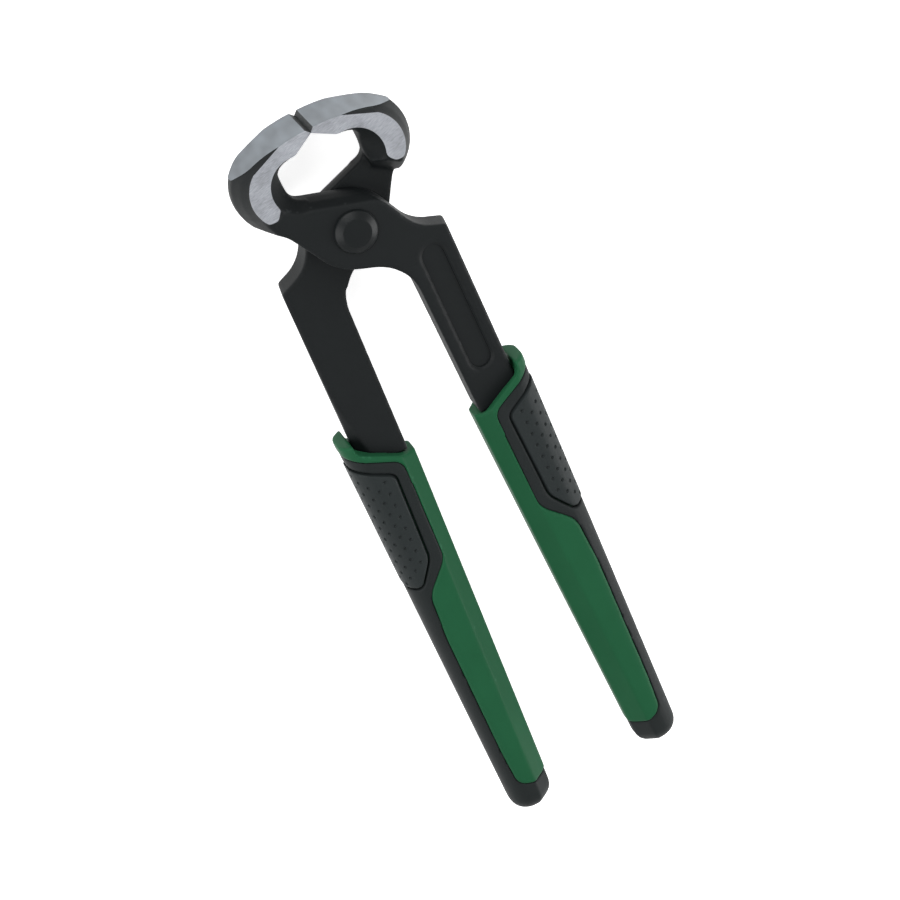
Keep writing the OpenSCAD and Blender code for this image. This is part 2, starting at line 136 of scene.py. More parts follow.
def pick_edges(piece, wanted):
    """Selects the edges for which wanted(one end, other end) holds, and says how many there are."""
    bpy.ops.mesh.select_mode(type="EDGE")
    mesh = bmesh.from_edit_mesh(piece.data)
    picked = [e for e in mesh.edges if wanted(*(from_rivet(v.co) for v in e.verts))]
    return mark(piece, mesh.edges, picked)


print("mode:", bpy.context.mode, "with", len(bpy.context.selected_objects), "objects selected")

# %% Copies, modifiers and cuts
hair = 1e-7


def settle(piece, name):
    """Names a new primitive and puts its place into its mesh."""
    piece.name = name
    piece.data.name = name
    bpy.ops.object.transform_apply(location=True, rotation=True, scale=True)
    return piece


def copy_of(piece, name):
    """A copy of a piece with its own mesh."""
    twin = bpy.data.objects.new(name, piece.data.copy())
    twin.data.name = name
    bpy.context.scene.collection.objects.link(twin)
    return twin


def finish_with(piece, kind, **settings):
    """Adds one modifier, sets it and applies it."""
    put_down()
    modifier = piece.modifiers.new(kind.title(), kind)
    for name, value in settings.items():
        setattr(modifier, name, value)
    bpy.context.view_layer.objects.active = piece
    bpy.ops.object.modifier_apply(modifier=modifier.name)


def combine(piece, other, operation, keep=False):
    """Cuts, joins or crosses a piece with another solid, which is then thrown away unless it is kept."""
    finish_with(piece, "BOOLEAN", operation=operation, solver="MANIFOLD", object=other)
    if not keep:
        bpy.data.objects.remove(other)


def saw_off(piece, point, outward):
    """Cuts off what lies beyond a plane through a point and closes the cut."""
    work_on_all(piece)
    bpy.ops.mesh.bisect(
        plane_co=at(*point), plane_no=outward, use_fill=True, clear_outer=True, threshold=hair)


def describe(piece):
    """One line on what a piece has become."""
    xs, ys, zs = zip(*(from_rivet(v.co) for v in piece.data.vertices))
    piece.data.calc_loop_triangles()
    sides = " x ".join(f"{max(side) - min(side):.1f}" for side in (xs, ys, zs))
    print(f"{piece.name}: {sides} mm, {len(piece.data.loop_triangles)} triangles")


print("a cut merges points within", round(hair / MM, 6), "mm")

# %% Steps in edit mode, and prisms
prism_half = 12.0


def extrude_by(x, y, z):
    """Extrudes what is selected by a step in millimetres."""
    bpy.ops.mesh.extrude_region_move(TRANSFORM_OT_translate={"value": Vector((x, y, z)) * MM})


def extrude_outwards(thickness):
    """Extrudes the selected faces along their own normals."""
    bpy.ops.mesh.extrude_region_shrink_fatten(TRANSFORM_OT_shrink_fatten={"value": thickness * MM})


def turn_about(axis, angle, centre):
    """Turns what is selected. With no window the operator turns the other way, hence the minus sign."""
    bpy.ops.transform.rotate(value=-angle, orient_axis=axis, center_override=centre)


def close_up():
    """Merges the doubled points of the piece in edit mode, faces it outwards and leaves edit mode."""
    bpy.ops.mesh.select_all(action="SELECT")
    bpy.ops.mesh.remove_doubles(threshold=hair)
    bpy.ops.mesh.normals_make_consistent(inside=False)
    bpy.ops.object.mode_set(mode="OBJECT")


def prism(name, line, corner=0.0):
    """An upright prism of an outline, with its upright edges rounded if a radius is given."""
    put_down()
    bpy.ops.mesh.primitive_circle_add(
        vertices=len(line), radius=MM, fill_type="NGON", location=at(0, 0, -prism_half))
    block = settle(bpy.context.object, name)
    work_on(block)
    mesh = bmesh.from_edit_mesh(block.data)
    for vertex, (x, y) in zip(mesh.verts, line):
        vertex.co = at(x, y, -prism_half)
    bmesh.update_edit_mesh(block.data)
    bpy.ops.mesh.select_all(action="SELECT")
    extrude_by(0, 0, 2 * prism_half)
    bpy.ops.mesh.select_all(action="SELECT")
    bpy.ops.mesh.normals_make_consistent(inside=False)
    if corner:
        pick_edges(block, lambda a, b: abs(a.z - b.z) > prism_half)
        bpy.ops.mesh.bevel(offset=corner * MM, segments=5, affect="EDGES", clamp_overlap=True)
    bpy.ops.object.mode_set(mode="OBJECT")
    return block


print("a prism is", 2 * prism_half, "mm high, more than any piece")

# %% [markdown]
# ## The forged lever
# A lever is one drop forging: jaw, lap plate and tang, with every edge rounded by the die. It could be drawn
# again from a box, but the CAD node already has the right outline, so a merged copy of it is the blank. The
# hidden end of its core is sawn off inside the grip, and a slanting facet is cut on the tang where it enters
# the collar.

# %% Copy the forging, turn it to its own axis and saw off the hidden core
loose_corners = 1e-6
hidden_y = -74.0
facet_place, facet_way = (20.8, -40.0, -2.15), (0.611, -0.065, -0.789)
lever = copy_of(frame["nodes"]["front_lever"], "front_lever_forging")
lever.data.materials.clear()
work_on_all(lever)
bpy.ops.mesh.remove_doubles(threshold=loose_corners)
turn_about("Z", -half_splay, rivet_place)
saw_off(lever, (0, hidden_y), (0, -1, 0))
saw_off(lever, facet_place, facet_way)
put_down()
describe(lever)
tip = max((from_rivet(v.co) for v in lever.data.vertices), key=lambda place: place.y)
print("highest point of the lever", [round(c, 2) for c in tip])

# %% [markdown]
# The sleeve needs a hole of the tang's shape. The lower end of this same blank, made a little fatter, is kept
# to cut it with.

# %% Keep the tang's lower end as the cutter for the sleeve's hole
pocket_top, pocket_gap = -46.0, 0.15
pocket = copy_of(lever, "tang_pocket")
saw_off(pocket, (0, pocket_top), (0, 1, 0))
bpy.ops.mesh.select_all(action="SELECT")
bpy.ops.transform.shrink_fatten(value=pocket_gap * MM, use_even_offset=True)
put_down()
describe(pocket)

# %% [markdown]
# ## Stock for the grinding
# The real jaw is forged with some metal to spare, and its cheeks, its end and its meeting face are ground to
# size afterwards. The same order works here: those faces are extruded outwards, everything is softened, and
# then the cuts bring back sharp edges at the CAD's sizes.

# %% Extrude the end and the meeting face
wheel_x, wheel_y, wheel_r = -1.5, -16.175, 45.0
stock = 1.6
jaw_y, meeting_y = 15.0, 27.3


def on_the_end(middle, normal):
    """True on the curved end face of the jaw."""
    outward = Vector((middle.x - wheel_x, middle.y - wheel_y, 0))
    at_the_rim = outward.length > wheel_r - 0.2
    return middle.y > jaw_y and at_the_rim and normal.dot(outward.normalized()) > 0.95


work_on(lever)
print("end faces", pick_faces(lever, on_the_end))
extrude_outwards(stock)
print("meeting faces", pick_faces(lever, lambda middle, normal: normal.x > 0.6 and middle.y > meeting_y))
extrude_by(2 * stock, 0, 0)
put_down()
describe(lever)

# %% [markdown]
# A cheek is ground only down to a rounded lower end, where the jaw fades into the plate. Three slanting lines
# are cut across the flat for that end. What lies above them gets stock, and the heel below them sinks out of
# the grinding's way.

# %% Find the cheeks and their heels
tip_y, tip_half = 28.8, 7.8
brow_y, brow_half = 11.5, 8.8
plate_y, heel_top = 8.0, 16.0
cheek_slope = math.atan2(brow_half - tip_half, tip_y - brow_y)
heel_lines = [
    (Vector((-18.2, 12.6)), Vector((-0.77, -0.64))),
    (Vector((-17.0, 12.6)), Vector((0.0, -1.0))),
    (Vector((-15.6, 12.6)), Vector((0.75, -0.66))),
]


def cheek_plane(side, depth=0.0):
    """A point on a ground cheek and the way it faces, lowered by a depth."""
    point = Vector((0, tip_y, side * (tip_half - depth)))
    return point, Vector((0, math.sin(cheek_slope), side * math.cos(cheek_slope)))


def lies_in(point, flat, within):
    """A test for faces in a plane, which is given by a point and the way it faces."""
    return lambda middle, normal: normal.dot(flat) > 0.9995 and abs((middle - point).dot(flat)) < within


def on_cheek(side, depth=0.0):
    """A test for faces of the jaw in a cheek's plane, lowered by a depth."""
    flat_there = lies_in(*cheek_plane(side, depth), within=0.05)
    return lambda middle, normal: flat_there(middle, normal) and middle.y > plate_y


def on_heel(middle):
    """True below the rounded lower end of a cheek."""
    return middle.y < heel_top and any((middle.xy - place).dot(out) > 0 for place, out in heel_lines)


print("a cheek slopes by", round(math.degrees(cheek_slope), 2), "degrees")

# %% Extrude the cheeks and sink their heels
heel_sink = 0.5
for side in (1, -1):
    work_on(lever)
    flats = on_cheek(side)
    for place, out in heel_lines:
        pick_faces(lever, flats)
        bpy.ops.mesh.bisect(plane_co=at(*place), plane_no=(*out, 0), threshold=hair)
    print("cheek faces", pick_faces(lever, lambda c, n: flats(c, n) and not on_heel(c)))
    extrude_outwards(stock)
    print("heel faces", pick_faces(lever, lambda c, n: flats(c, n) and on_heel(c)))
    bpy.ops.transform.translate(value=(0, 0, -heel_sink * side * MM))
put_down()
describe(lever)

# %% [markdown]
# ## Softening the forging
# A bevel on every edge would fail where the jaw runs into the plate. A voxel remesh turns the blank into even
# small faces, and smoothing those rounds all edges alike, as a die does. The thin end of the jaw would
# shrink, so a vertex group holds the smoothing back towards the cutting edge.

# %% Remesh and smooth the blank
forging_voxel, forging_rounds = 0.34, 14
thin_y, thin_x, thin_run, least_soft = 22.0, -1.5, 6.0, 0.08


def softness(place):
    """How freely a place is smoothed: fully on most of the lever, and less towards the cutting edge."""
    if place.y <= thin_y:
        return 1.0
    return min(1.0, max(least_soft, (thin_x - place.x) / thin_run))


finish_with(lever, "REMESH", mode="VOXEL", voxel_size=forging_voxel * MM, use_smooth_shade=True)
softened = lever.vertex_groups.new(name="softened")
for vertex in lever.data.vertices:
    softened.add([vertex.index], softness(from_rivet(vertex.co)), "REPLACE")
finish_with(lever, "SMOOTH", factor=0.5, iterations=forging_rounds, vertex_group=softened.name)
lever.vertex_groups.clear()
describe(lever)

# %% [markdown]
# The long recess in the tang's face is struck after the forging, so its rim is crisper than the other edges.
# A rounded slot with leaning walls is set square to the tang, which slopes towards the middle plane, and is
# then cut in.

# %% Strike the recess
lap_z = 8.2
tang_drop, tang_run = 4.1, 45.4
recess_x, recess_y, recess_r, recess_half = 14.3, -31.5, 3.45, 19.15
recess_depth, recess_lean, recess_turn = 1.0, 0.5, math.radians(-0.8)
tang_slope = math.atan2(tang_drop, tang_run)
tilt_y = -16.0
middle_y = recess_y - tilt_y
corners = ((-1, -1), (1, -1), (1, 1), (-1, 1))
recess_line = [(recess_x + x * recess_r, middle_y + y * recess_half) for x, y in corners]
recess = prism("recess_punch", recess_line, corner=0.98 * recess_r)
work_on(recess)
pick_faces(recess, lambda middle, normal: normal.z < -0.9)
shares = (1 - recess_lean / recess_r, 1 - recess_lean / recess_half, 1)
bpy.ops.transform.resize(value=shares, center_override=at(recess_x, middle_y))
bpy.ops.mesh.select_all(action="SELECT")
turn_about("Z", recess_turn, at(recess_x, 0))
bpy.ops.transform.translate(value=Vector((0, tilt_y, lap_z + prism_half - recess_depth)) * MM)
turn_about("X", tang_slope, at(0, tilt_y, lap_z))
put_down()
describe(recess)
combine(lever, recess, "DIFFERENCE")
describe(lever)

# %% [markdown]
# ## Grinding the jaw
# The cheeks are flat, so the forging is bisected there and the cut is filled. The end is slightly round, so
# it is cut with the inside of a ring wheel: a rectangle spun about the wheel's axis. Three finishes are given
# to the lever: black for the forging, and two kinds of bright steel for the cuts.

# %% Name the finishes that the lever wears
BLACK, CHEEK, END = 0, 1, 2
lever.data.materials.clear()
for finish in ("forged_black", "ground_cheek", "ground_end"):
    lever.data.materials.append(bpy.data.materials.new(finish))
print([material.name for material in lever.data.materials])

# %% Make the grinding wheel
wheel_start, wheel_sweep, wheel_steps = 130, 60, 120
wheel_wide = 20.0
hub = at(wheel_x, wheel_y)
origin = (0, 0, 0)
bpy.ops.mesh.primitive_plane_add(size=1)
wheel = settle(bpy.context.object, "grinding_wheel")
work_on_all(wheel)
bpy.ops.transform.resize(value=(wheel_wide * MM, 2 * wheel_wide * MM, 1), center_override=origin)
turn_about("X", -math.pi / 2, origin)
bpy.ops.transform.translate(value=at(wheel_x + wheel_r + wheel_wide / 2, wheel_y))
turn_about("Z", math.radians(wheel_start), hub)
bpy.ops.mesh.spin(steps=wheel_steps, angle=math.radians(wheel_sweep), center=hub, axis=(0, 0, 1))
close_up()
describe(wheel)

# %% Grind the end and the cheeks
cheek_depth = 0.02
for finish in lever.data.materials:
    wheel.data.materials.append(finish)
for face in wheel.data.polygons:
    face.material_index = END
combine(lever, wheel, "DIFFERENCE")
for side in (1, -1):
    saw_off(lever, *cheek_plane(side, cheek_depth))
    lever.active_material_index = CHEEK
    print("ground cheek faces", pick_faces(lever, on_cheek(side, cheek_depth)))
    bpy.ops.object.material_slot_assign()

# %% [markdown]
# Where the cheek and the end part, a slanting cut keeps their corner black. Two prisms then cut off the
# meeting face and thin the jaw towards its cutting edge. The first is drawn where the two halves meet, so it
# is turned back to the lever's own axis.

# %% Relieve the corners and cut the meeting face
relief_start = Vector((-7.2, 28.46, 7.8))
relief_way = Vector((-0.282, 0.790, 0.545)).normalized()
lever.active_material_index = BLACK
for side in (1, -1):
    turned_over = Vector((1, 1, side))
    point, flat = relief_start * turned_over, relief_way * turned_over
    saw_off(lever, point, flat)
    print("relieved faces", pick_faces(lever, lies_in(point, flat, within=0.02)))
    bpy.ops.object.material_slot_assign()

edge_x, edge_y, notch = -0.015, 27.7, 12.0
mouth_y, far_x, past_y = 15.0, 15.0, 45.0
meeting_line = [(edge_x, mouth_y), (far_x, mouth_y), (far_x, past_y),
                (edge_x - notch, edge_y + notch), (edge_x, edge_y)]
to_own_axis = Matrix.Rotation(-half_splay, 2)
beyond = [to_own_axis @ Vector(point) for point in meeting_line]
combine(lever, prism("beyond_the_edge", beyond), "DIFFERENCE")
bite_line = [(-4.4, 23.0), (3.0, 23.0), (3.0, 28.575), (-4.4, 24.69)]
combine(lever, prism("bite_relief", bite_line), "DIFFERENCE")
describe(lever)

# %% Keep the borders of the ground faces sharp
crease = math.radians(28)
for finish in (CHEEK, END):
    work_on(lever)
    bpy.ops.mesh.select_mode(type="FACE")
    lever.active_material_index = finish
    bpy.ops.object.material_slot_select()
    bpy.ops.mesh.region_to_loop()
    bpy.ops.mesh.mark_sharp()
put_down()
lever.select_set(True)
bpy.ops.object.shade_smooth_by_angle(angle=crease)
worn_by = [sum(face.material_index == i for face in lever.data.polygons) for i in (BLACK, CHEEK, END)]
print("faces of each finish", worn_by)

# %% [markdown]
# ## The rivet
# One rivet holds the levers together: a shank through both plates, a button head with a flat on it in front,
# and a low peened end behind. A turned part could be spun from its outline. Here it grows from a cylinder
# instead, because extruding and scaling its two ends gives each shoulder where it can be bevelled.

# %% Grow the rivet from a cylinder
head_r, rim_h, button_h, flat_r = 5.6, 0.6, 1.1, 3.6
shank_r, tail_gap, tail_r, tail_h = 4.0, 0.05, 5.175, 0.8
bpy.ops.mesh.primitive_cylinder_add(
    vertices=96, radius=head_r * MM, depth=rim_h * MM, location=at(0, 0, lap_z + rim_h / 2))
rivet = settle(bpy.context.object, "pivot_rivet_turned")


def grow(height, along, from_r, to_r):
    """Extrudes the rivet's disc at a height by a length and scales it from one radius to another."""
    pick_faces(rivet, lambda c, n: abs(n.z) > 0.9 and abs(c.z - height) < 0.01 and c.xy.length < 0.1)
    extrude_by(0, 0, along)
    share = to_r / from_r
    bpy.ops.transform.resize(value=(share, share, 1), center_override=rivet_place)
    return height + along


work_on(rivet)
top = grow(lap_z + rim_h, button_h, head_r, flat_r)
low = grow(lap_z, 0, head_r, shank_r)
low = grow(low, -2 * lap_z - tail_gap, shank_r, shank_r)
low = grow(low, 0, shank_r, tail_r)
low = grow(low, -tail_h, tail_r, tail_r - tail_h)
print("rivet from", round(low, 2), "to", round(top, 2))

# %% Round the rivet's edges
def ring(radius, height):
    """A test for the edges of one circle on the rivet."""
    return lambda a, b: all(abs(p.xy.length - radius) < 0.02 and abs(p.z - height) < 0.02 for p in (a, b))


rounded_rings = ((head_r, lap_z + rim_h, 0.7), (flat_r, top, 0.14), (tail_r - tail_h, low, 0.4))
for radius, height, width in rounded_rings:
    print("ring of", pick_edges(rivet, ring(radius, height)), "edges")
    bpy.ops.mesh.bevel(offset=width * MM, segments=4, affect="EDGES", clamp_overlap=True)
close_up()
bpy.ops.object.shade_smooth_by_angle(angle=math.radians(22))
describe(rivet)

# %% [markdown]
# ## The grip's blank
# All three pieces of a grip share one outside: a bar that narrows towards a rounded end, with a flat slanting
# facet on both sides of its inner edge and a round outer edge. It is box modelling: a cube is tapered, its
# long edges are bevelled, and its end is extruded in steps that shrink along a quarter circle. Drawn in by up
# to 2 mm, the same steps also give the two sides of the soft layer and the seat of the pad.

# %% Model the blank from a cube
ear_y, nose_y, end_y = -52.4, -166.0, -171.2
in_x, collar_w, end_w, collar_t, end_t = 6.0, 18.0, 11.8, 14.2, 12.0
facet_w, outer_r, long_edge = 4.3, 5.2, 50.0
nose_steps, nose_shrink = 6, 0.84


def nose(blank, inset, nose_w):
    """Rounds off the blank's end in shrinking steps."""
    length = nose_y - end_y - inset
    middle = at(in_x + inset + nose_w / 2, 0)
    y, size = nose_y, 1.0
    pick_faces(blank, lambda c, n: n.y < -0.9)
    for step in range(1, nose_steps + 1):
        angle = math.pi / 2 * step / nose_steps
        next_y = nose_y - length * math.sin(angle)
        next_size = 1 - nose_shrink * (1 - math.cos(angle))
        extrude_by(0, next_y - y, 0)
        ratio = next_size / size
        bpy.ops.transform.resize(value=(ratio, 1, ratio), center_override=middle)
        y, size = next_y, next_size


def grip_blank(name, inset):
    """The outside of the grip, drawn in by an inset in millimetres."""
    share = (nose_y - ear_y) / (end_y - ear_y)
    wide, thick = collar_w - 2 * inset, collar_t - 2 * inset
    nose_w = collar_w + (end_w - collar_w) * share - 2 * inset
    nose_t = collar_t + (end_t - collar_t) * share - 2 * inset
    put_down()
    bpy.ops.mesh.primitive_cube_add(
        size=1, location=at(in_x + collar_w / 2, (ear_y + nose_y) / 2),
        scale=Vector((wide, ear_y - nose_y, thick)) * MM)
    blank = settle(bpy.context.object, name)
    work_on(blank)
    pick_faces(blank, lambda c, n: n.y < -0.9)
    inner_end = at(in_x + inset, nose_y)
    bpy.ops.transform.resize(value=(nose_w / wide, 1, nose_t / thick), center_override=inner_end)
    inner, outer = in_x + inset + 0.1, in_x + 0.8 * end_w
    pick_edges(blank, lambda a, b: abs(a.y - b.y) > long_edge and max(a.x, b.x) < inner)
    bpy.ops.mesh.bevel(offset=(facet_w - 0.6 * inset) * MM, segments=1, affect="EDGES")
    pick_edges(blank, lambda a, b: abs(a.y - b.y) > long_edge and min(a.x, b.x) > outer and abs(a.z) > 2)
    bpy.ops.mesh.bevel(offset=(outer_r - inset) * MM, segments=7, affect="EDGES")
    nose(blank, inset, nose_w)
    bpy.ops.object.mode_set(mode="OBJECT")
    return blank


skin = grip_blank("grip_skin", inset=0.0)
describe(skin)

# %% [markdown]
# ## The outlines on the grip
# Seen from the front, three lines divide the grip: the collar's slanting rim beside the tang, the edge of the
# dark soft layer, and the edge of the pad let into it. Each line becomes an upright prism, made from a flat
# polygon that is extruded through the grip, with its corners rounded by a bevel.

# %% Draw the outlines
def width_at(along):
    """The grip's width at a share of its length from the collar."""
    return collar_w + (end_w - collar_w) * along


def on_grip(across, along):
    """A point on the grip's front: a share of its width from inside, and of its length from the collar."""
    return in_x + across * width_at(along), ear_y + along * (end_y - ear_y)


rim_line = [(2, -30), (2, -61.4), (7.7, -61.4), (20.7, -55.0), (20.7, -30)]
soft_line = [on_grip(*shares) for shares in (
    (1.30, -0.004), (0.85, 0.039), (0.26, 0.079), (0.255, 0.327), (0.71, 0.395), (0.767, 0.510),
    (0.746, 0.828), (0.70, 0.917), (0.26, 0.931), (-0.30, 0.915), (-1.0, 1.2), (2.5, 1.2))]
pad_line = [on_grip(*shares) for shares in (
    (1.30, 0.024), (0.87, 0.063), (0.415, 0.099), (0.46, 0.315),
    (0.766, 0.376), (0.96, 0.371), (1.30, 0.354))]
print("outlines of", len(rim_line), "and", len(soft_line), "and", len(pad_line), "points")

# %% Make the prisms
def drawn_in(line, gap):
    """An outline that runs anticlockwise, with every side moved inwards by a gap."""
    drawn = []
    for before, here, after in zip(line[-1:] + line, line, line[1:] + line[:1]):
        sides = [(Vector(here) - Vector(before)).normalized(), (Vector(after) - Vector(here)).normalized()]
        turned = [Vector((-side.y, side.x)) for side in sides]
        inwards = (turned[0] + turned[1]).normalized()
        drawn.append(tuple(Vector(here) + inwards * gap / inwards.dot(turned[0])))
    return drawn


pad_edge = drawn_in(pad_line, gap=0.6)
above_rim = prism("above_rim", rim_line, corner=1.2)
soft_area = prism("soft_area", soft_line, corner=2.2)
pad_area = prism("pad_area", pad_line, corner=1.6)
pad_inside = prism("pad_inside", pad_edge, corner=1.4)
pad_seat = prism("pad_seat", drawn_in(pad_line, gap=0.1), corner=1.6)
for block in (above_rim, soft_area, pad_area, pad_inside, pad_seat):
    describe(block)

# %% [markdown]
# ## Splitting the grip
# The sleeve is the blank without the soft layer. The soft layer is a shell under 2 mm thick that lies a hair
# lower than the sleeve. The pad fills the window in that shell with a groove all round, whose dark bottom is
# the pad's own thin seat. Booleans do the splitting.
# Each piece is then remeshed and smoothed, so that its edges are rounded as moulded edges are, and the
# seams between pieces become fine dark lines.

# %% Split off the sleeve, the soft layer and the pad
core = grip_blank("grip_core", inset=2.0)
soft_skin = grip_blank("soft_skin", inset=0.25)

sleeve = copy_of(skin, "right_grip_sleeve_moulded")
combine(sleeve, soft_area, "DIFFERENCE", keep=True)
combine(sleeve, core, "UNION", keep=True)
combine(sleeve, above_rim, "DIFFERENCE", keep=True)
combine(sleeve, pocket, "DIFFERENCE")

overmould = copy_of(soft_skin, "right_grip_overmould_moulded")
combine(overmould, soft_area, "INTERSECT")
combine(overmould, above_rim, "DIFFERENCE")
combine(overmould, pad_area, "DIFFERENCE")
combine(overmould, core, "DIFFERENCE", keep=True)

pad = copy_of(skin, "right_grip_pad_moulded")
combine(pad, pad_inside, "INTERSECT")
seat = grip_blank("seat_skin", inset=1.1)
combine(seat, pad_seat, "INTERSECT")
combine(pad, seat, "UNION")
combine(pad, core, "DIFFERENCE")
for spare in (skin, soft_skin):
    bpy.data.objects.remove(spare)
for piece, voxel, rounds in ((sleeve, 0.36, 12), (overmould, 0.3, 10), (pad, 0.25, 8)):
    finish_with(piece, "REMESH", mode="VOXEL", voxel_size=voxel * MM, use_smooth_shade=True)
    finish_with(piece, "SMOOTH", factor=0.5, iterations=rounds)
    describe(piece)

# %% [markdown]
# ## The dimples
# The pad carries rows of small round dimples that turn round the outer edge from the front to the back. They
# could be painted as bump, but real hollows catch the light from every side. One small ball is the punch. A
# ray sent from outside towards the grip's middle line finds the surface at each place, and all the punches
# cut at once.

# %% Make the punch and find room for it
punch_r, punch_lift, punch_room = 0.52, 0.12, 1.1


def clearance(line, x, y):
    """Distance from a point to the nearest side of an outline, negative outside it."""
    nearest = math.inf
    for start_point, end_point in zip(line, line[1:] + line[:1]):
        a, b = Vector(start_point), Vector(end_point)
        side = (b - a).normalized()
        nearest = min(nearest, (Vector((x, y)) - a).dot(Vector((-side.y, side.x))))
    return nearest


put_down()
bpy.ops.mesh.primitive_ico_sphere_add(subdivisions=2, radius=punch_r * MM)
punch = settle(bpy.context.object, "dimple_punch")
describe(punch)

# %% Punch the pad
pitch, rows, first_y = 3.5, 14, -56.0
columns, column_turn = 13, 17.0
middle_shift, ray_start = 1.5, 30.0
punches = []
for column in range(columns):
    angle = math.radians((column - (columns - 1) / 2) * column_turn)
    aim = Vector((-math.cos(angle), 0, -math.sin(angle)))
    for row in range(rows):
        y = first_y - pitch * (row + 0.5 * (column % 2))
        middle_x = in_x + 0.5 * width_at((y - ear_y) / (end_y - ear_y)) + middle_shift
        hit, place, normal, _ = pad.ray_cast(at(middle_x, y) - aim * ray_start * MM, aim)
        spot = from_rivet(place)
        if hit and normal.dot(aim) < -0.3 and clearance(pad_edge, spot.x, spot.y) > punch_room:
            twin = copy_of(punch, f"punch_{len(punches)}")
            twin.data.transform(Matrix.Translation(place + normal * punch_lift * MM))
            punches.append(twin)
print("dimples", len(punches))
bpy.data.objects.remove(punch)
put_down()
for twin in punches:
    twin.select_set(True)
bpy.context.view_layer.objects.active = punches[0]
bpy.ops.object.join()
combine(pad, punches[0], "DIFFERENCE")
describe(pad)

# %% [markdown]
# ## Turning the halves out
# The finished half is turned about the rivet by half the angle between the levers. Its copy is turned over
# about the tool's own axis, which puts its jaw on the other side and its lap face against the first one.

# %% Turn out one half and copy it for the other
half = {"lever": lever, "grip_sleeve": sleeve, "grip_overmould": overmould, "grip_pad": pad}
other = {}
for part, piece in half.items():
    work_on_all(piece)
    turn_about("Z", half_splay, rivet_place)
    put_down()
    twin = copy_of(piece, piece.name.replace("front", "back").replace("right", "left"))
    work_on_all(twin)
    turn_about("Y", math.pi, rivet_place)
    put_down()
    other[part] = twin
    describe(piece)
    describe(twin)

# %% Ride the bodies and stand for the CAD nodes
for body, pieces, hand in (("front_half", half, "right"), ("back_half", other, "left")):
    for part, piece in pieces.items():
        node = body.replace("half", "lever") if part == "lever" else f"{hand}_{part}"
        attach(piece, body)
        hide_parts(node)
        print(piece.name, "stands for", node, "on", body)
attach(rivet, "front_half")
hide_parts("pivot_rivet")
print(rivet.name, "stands for pivot_rivet on front_half")

# %% [markdown]
# ## Writing finishes as sums
# A shader is a chain of nodes. To keep it readable, one small class wraps a node's output, so that a line
# such as 1 - mask adds the Math node by itself. Every other node comes from one method: its type, its
# settings, which are set first, and the values or links of its inputs.

# %% The wire class
class Wire:
    """An output of a node, on which sums can be written."""

    def __init__(self, tree, socket=None):
        self.tree = tree
        self.socket = socket

    def node(self, kind, settings, inputs, output=0):
        """Adds any node and gives one of its outputs."""
        made = self.tree.nodes.new(kind)
        for name, value in settings.items():
            setattr(made, name, value)
        for name, value in inputs.items():
            if isinstance(value, Wire):
                self.tree.links.new(value.socket, made.inputs[name])
            else:
                made.inputs[name].default_value = value
        return Wire(self.tree, made.outputs[output])

    def maths(self, operation, first, second):
        """Adds a Math node."""
        return self.node("ShaderNodeMath", {"operation": operation}, {0: first, 1: second})

    def __add__(self, other):
        return self.maths("ADD", self, other)

    __radd__ = __add__

    def __sub__(self, other):
        return self.maths("SUBTRACT", self, other)

    def __rsub__(self, other):
        return self.maths("SUBTRACT", other, self)

    def __mul__(self, other):
        return self.maths("MULTIPLY", self, other)

    __rmul__ = __mul__

    def clipped(self, low, high):
        """0 below low, 1 above high, and a straight run between."""
        return self.node("ShaderNodeMapRange", {"clamp": True}, {0: self, 1: low, 2: high, 3: 0.0, 4: 1.0})

    def mix(self, first, second):
        """A colour between two others, with this wire as the share of the second."""
        return self.node("ShaderNodeMix", {"data_type": "RGBA"}, {0: self, 6: first, 7: second}, 2)


print("finishes so far:", [m.name for m in bpy.data.materials])

# %% What the finishes share
def open_finish(material, metallic):
    """Gives the start of a material's sums, which is its Object coordinates, and its shader."""
    material.use_nodes = True
    tree = material.node_tree
    shader = tree.nodes["Principled BSDF"]
    shader.inputs["Metallic"].default_value = metallic
    coords = Wire(tree).node("ShaderNodeTexCoord", {}, {}, "Object")
    return coords, shader


def noise(coords, size, detail=3.0, stretch=(1, 1, 1), turn=(0, 0, 0)):
    """Noise with features of about a size in millimetres, stretched and turned."""
    spread = coords.node("ShaderNodeMapping", {"vector_type": "TEXTURE"}, {
        "Vector": coords,
        "Rotation": [math.radians(angle) for angle in turn],
        "Scale": [size * MM * share for share in stretch]})
    return coords.node("ShaderNodeTexNoise", {}, {
        "Vector": spread, "Scale": 1.0, "Detail": detail, "Roughness": 0.55})


def bumps(height, strength, depth):
    """A normal that is roughened by a height."""
    return height.node("ShaderNodeBump", {}, {"Height": height, "Strength": strength, "Distance": depth * MM})


def edges(coords):
    """1 on sharp outer edges, 0 on flats and in hollows: the mask for the painted edge highlights."""
    return coords.node("ShaderNodeNewGeometry", {}, {}, "Pointiness").clipped(0.54, 0.68)


def shade(tone, share=1.0):
    """A tone made darker or lighter, as a colour for a socket."""
    return [c * share for c in tone] + [1]


def connect(shader, **wires):
    """Leads wires into the shader's inputs."""
    for name, wire in wires.items():
        wire.tree.links.new(wire.socket, shader.inputs[name.replace("_", " ")])


print("a tone made lighter by a tenth:", shade((0.5, 0.5, 0.5), 1.1))

# %% [markdown]
# ## Black forged steel
# The forgings are blackened by oxide over a fine blasted surface: almost black and half matt. Their outer
# edges are painted lighter, as a highlight. Fine noise makes the grain and a broad one the cloudy tone.

# %% Forged black
# The colour of the painted highlight on the outer edges of the black steel.
edge_highlight_tone = (0.022, 0.025, 0.026)


